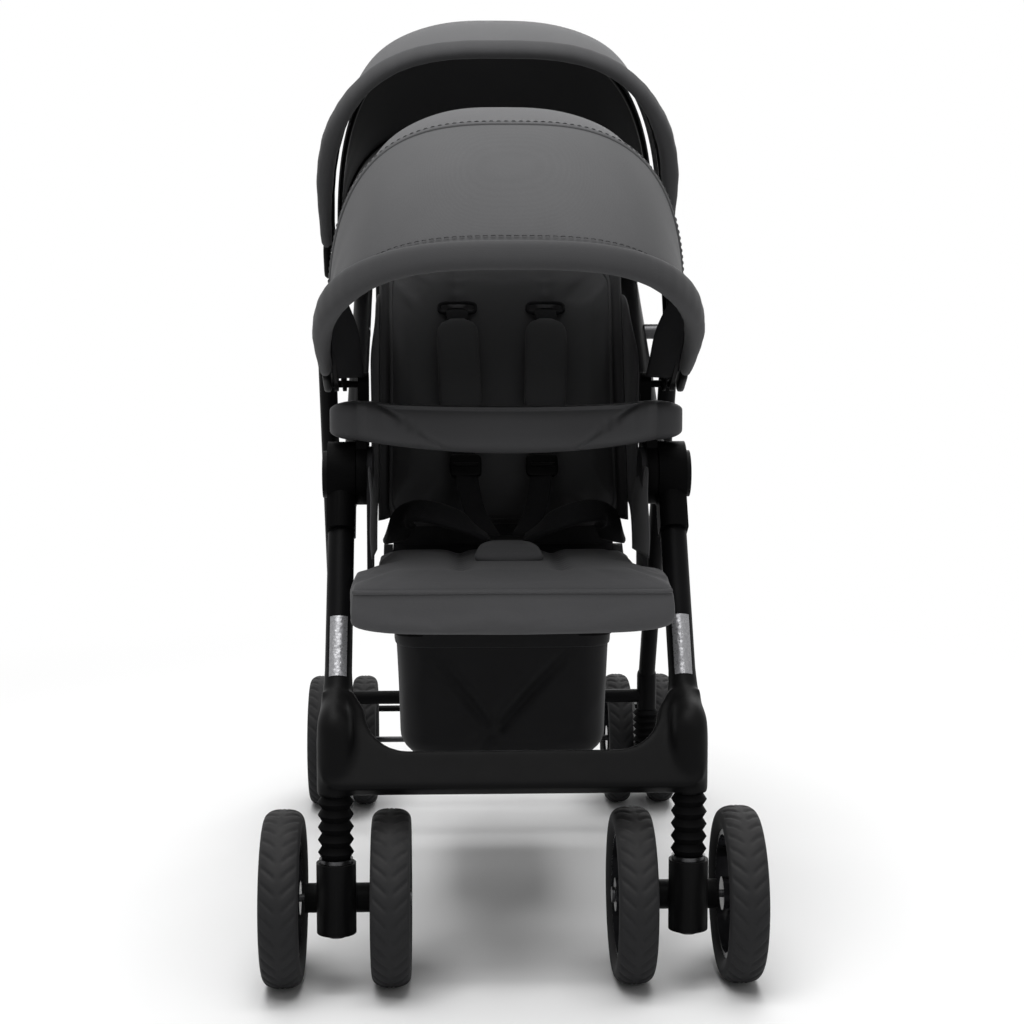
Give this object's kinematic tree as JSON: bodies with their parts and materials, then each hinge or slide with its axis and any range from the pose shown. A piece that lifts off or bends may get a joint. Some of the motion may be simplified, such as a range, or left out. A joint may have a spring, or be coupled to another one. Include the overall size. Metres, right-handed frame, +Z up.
{
  "type": "tandem stroller",
  "caption": "Folding tandem stroller: two padded seats in line under folding canopies, on a tube frame with swivelling sprung front casters, a braked rear axle, a tray and a basket.",
  "frame": {"origin": "on the floor under the middle of the stroller's outline", "axes": "+Z up, the front faces -Y, +X to the right seen from the front"},
  "size_m": [0.509, 1.06, 1.0476],
  "materials": {
    "frame_steel": "satin black powder coat",
    "black_plastic": "fine moulded grain",
    "rim_plastic": "smooth moulded rim",
    "tyre_foam": "matt foamed rubber",
    "steel": "plain steel",
    "bellows_rubber": "soft black rubber",
    "grip_foam": "fine foam",
    "reflective": "silver prismatic film",
    "canopy_fabric": "plain dark grey woven polyester",
    "seat_fabric": "plain dark grey woven polyester",
    "back_fabric": "plain near-black woven polyester",
    "basket_fabric": "black woven nylon",
    "tray_plastic": "dark grey moulded plastic",
    "board_plastic": "plain board"
  },
  "bodies": {
    "frame": {"push_frame": "frame_steel", "foam_grip": "grip_foam", "hinge_bracket_left": "black_plastic", "hinge_bracket_right": "black_plastic", "hinge_pins": "black_plastic", "frame_pins": "steel", "basket": "basket_fabric", "basket_wire": "frame_steel", "front_buckle": "black_plastic", "front_seat_board": "board_plastic", "front_seat_cushion": "seat_fabric", "rear_seat_board": "board_plastic", "rear_seat_cushion": "seat_fabric", "front_canopy_back": "canopy_fabric", "rear_canopy_back": "canopy_fabric"},
    "fold_trigger": {"fold_trigger": "black_plastic"},
    "front_legs": {"front_leg_left": "frame_steel", "front_leg_right": "frame_steel", "front_cross_member": "black_plastic", "reflective_bands": "reflective", "hinge_drum_left": "black_plastic", "hinge_drum_right": "black_plastic"},
    "rear_legs": {"rear_legs": "frame_steel"},
    "rear_axle_unit": {"rear_arms": "black_plastic", "rear_axle": "steel", "rear_bellows": "bellows_rubber"},
    "brake": {"brake_pedal": "black_plastic"},
    "front_hood": {"front_canopy_hood": "canopy_fabric", "front_canopy_bow": "black_plastic"},
    "rear_hood": {"rear_canopy_hood": "canopy_fabric", "rear_canopy_bow": "black_plastic"},
    "front_back": {"front_back_board": "board_plastic", "front_back_cushion": "back_fabric"},
    "rear_back": {"rear_back_board": "board_plastic", "rear_back_cushion": "back_fabric"},
    "tray": {"tray": "tray_plastic"},
    "front_strut_left": {"front_stem_left": "steel", "front_bellows_left": "bellows_rubber"},
    "front_caster_left": {"front_fork_left": "black_plastic", "front_axle_left": "steel"},
    "front_wheel_1": {"front_wheel_1": "rim_plastic", "front_tyre_1": "tyre_foam"},
    "rear_wheel_1": {"rear_wheel_1": "rim_plastic", "rear_tyre_1": "tyre_foam"},
    "front_wheel_2": {"front_wheel_2": "rim_plastic", "front_tyre_2": "tyre_foam"},
    "rear_wheel_2": {"rear_wheel_2": "rim_plastic", "rear_tyre_2": "tyre_foam"},
    "front_strut_right": {"front_stem_right": "steel", "front_bellows_right": "bellows_rubber"},
    "front_caster_right": {"front_fork_right": "black_plastic", "front_axle_right": "steel"},
    "front_wheel_3": {"front_wheel_3": "rim_plastic", "front_tyre_3": "tyre_foam"},
    "rear_wheel_3": {"rear_wheel_3": "rim_plastic", "rear_tyre_3": "tyre_foam"},
    "front_wheel_4": {"front_wheel_4": "rim_plastic", "front_tyre_4": "tyre_foam"},
    "rear_wheel_4": {"rear_wheel_4": "rim_plastic", "rear_tyre_4": "tyre_foam"}
  },
  "joints": [
    {"name": "frame_fold", "type": "hinge", "parent": "frame", "child": "front_legs", "pos_m": [0, -0.29, 0.512], "axis": [-1, 0, 0], "range_deg": [0, 28]},
    {"name": "rear_leg_fold", "type": "hinge", "parent": "frame", "child": "rear_legs", "pos_m": [0, -0.04, 0.66374], "axis": [-1, 0, 0], "range_deg": [0, 65.8]},
    {"name": "fold_trigger_squeeze", "type": "slide", "parent": "frame", "child": "fold_trigger", "axis": [0, 0, 1], "range_m": [0, 0.007], "stiffness_N_per_m": 600, "springref_m": -0.004},
    {"name": "rear_suspension", "type": "slide", "parent": "rear_legs", "child": "rear_axle_unit", "axis": [0, 0, 1], "range_m": [0, 0.01], "stiffness_N_per_m": 16000, "springref_m": -0.01, "deforming": ["rear_bellows"]},
    {"name": "brake_press", "type": "hinge", "parent": "rear_axle_unit", "child": "brake", "pos_m": [0, 0.346, 0.09], "axis": [-1, 0, 0], "range_deg": [0, 15]},
    {"name": "front_hood_fold", "type": "hinge", "parent": "frame", "child": "front_hood", "pos_m": [0, -0.23, 0.607], "axis": [-1, 0, 0], "range_deg": [0, 44]},
    {"name": "rear_hood_fold", "type": "hinge", "parent": "frame", "child": "rear_hood", "pos_m": [0, 0.08, 0.73658], "axis": [-1, 0, 0], "range_deg": [0, 40]},
    {"name": "front_back_recline", "type": "hinge", "parent": "frame", "child": "front_back", "pos_m": [0, -0.184, 0.412], "axis": [-1, 0, 0], "range_deg": [-4, 24]},
    {"name": "rear_back_recline", "type": "hinge", "parent": "frame", "child": "rear_back", "pos_m": [0, 0.171, 0.532], "axis": [-1, 0, 0], "range_deg": [-4, 26]},
    {"name": "tray_swing", "type": "hinge", "parent": "frame", "child": "tray", "pos_m": [-0.15575, -0.29, 0.553], "axis": [0, 0, -1], "range_deg": [0, 100]},
    {"name": "front_suspension_left", "type": "slide", "parent": "front_legs", "child": "front_strut_left", "axis": [0, 0, 1], "range_m": [0, 0.01], "stiffness_N_per_m": 9000, "springref_m": -0.01, "deforming": ["front_bellows_left"]},
    {"name": "front_swivel_left", "type": "hinge", "parent": "front_strut_left", "child": "front_caster_left", "pos_m": [-0.178, -0.465, 0.1], "axis": [0, 0, 1], "continuous": true},
    {"name": "front_wheel_1_spin", "type": "hinge", "parent": "front_caster_left", "child": "front_wheel_1", "pos_m": [-0.233, -0.44, 0.09], "axis": [1, 0, 0], "continuous": true},
    {"name": "rear_wheel_1_spin", "type": "hinge", "parent": "rear_axle_unit", "child": "rear_wheel_1", "pos_m": [-0.237, 0.32, 0.09], "axis": [1, 0, 0], "continuous": true},
    {"name": "front_wheel_2_spin", "type": "hinge", "parent": "front_caster_left", "child": "front_wheel_2", "pos_m": [-0.123, -0.44, 0.09], "axis": [1, 0, 0], "continuous": true},
    {"name": "rear_wheel_2_spin", "type": "hinge", "parent": "rear_axle_unit", "child": "rear_wheel_2", "pos_m": [-0.177, 0.32, 0.09], "axis": [1, 0, 0], "continuous": true},
    {"name": "front_suspension_right", "type": "slide", "parent": "front_legs", "child": "front_strut_right", "axis": [0, 0, 1], "range_m": [0, 0.01], "stiffness_N_per_m": 9000, "springref_m": -0.01, "deforming": ["front_bellows_right"]},
    {"name": "front_swivel_right", "type": "hinge", "parent": "front_strut_right", "child": "front_caster_right", "pos_m": [0.178, -0.465, 0.1], "axis": [0, 0, 1], "continuous": true},
    {"name": "front_wheel_3_spin", "type": "hinge", "parent": "front_caster_right", "child": "front_wheel_3", "pos_m": [0.123, -0.44, 0.09], "axis": [1, 0, 0], "continuous": true},
    {"name": "rear_wheel_3_spin", "type": "hinge", "parent": "rear_axle_unit", "child": "rear_wheel_3", "pos_m": [0.177, 0.32, 0.09], "axis": [1, 0, 0], "continuous": true},
    {"name": "front_wheel_4_spin", "type": "hinge", "parent": "front_caster_right", "child": "front_wheel_4", "pos_m": [0.233, -0.44, 0.09], "axis": [1, 0, 0], "continuous": true},
    {"name": "rear_wheel_4_spin", "type": "hinge", "parent": "rear_axle_unit", "child": "rear_wheel_4", "pos_m": [0.237, 0.32, 0.09], "axis": [1, 0, 0], "continuous": true}
  ],
  "couplings": [
    {"joint": "rear_leg_fold", "follows": "frame_fold", "ratio": 2.35}
  ]
}
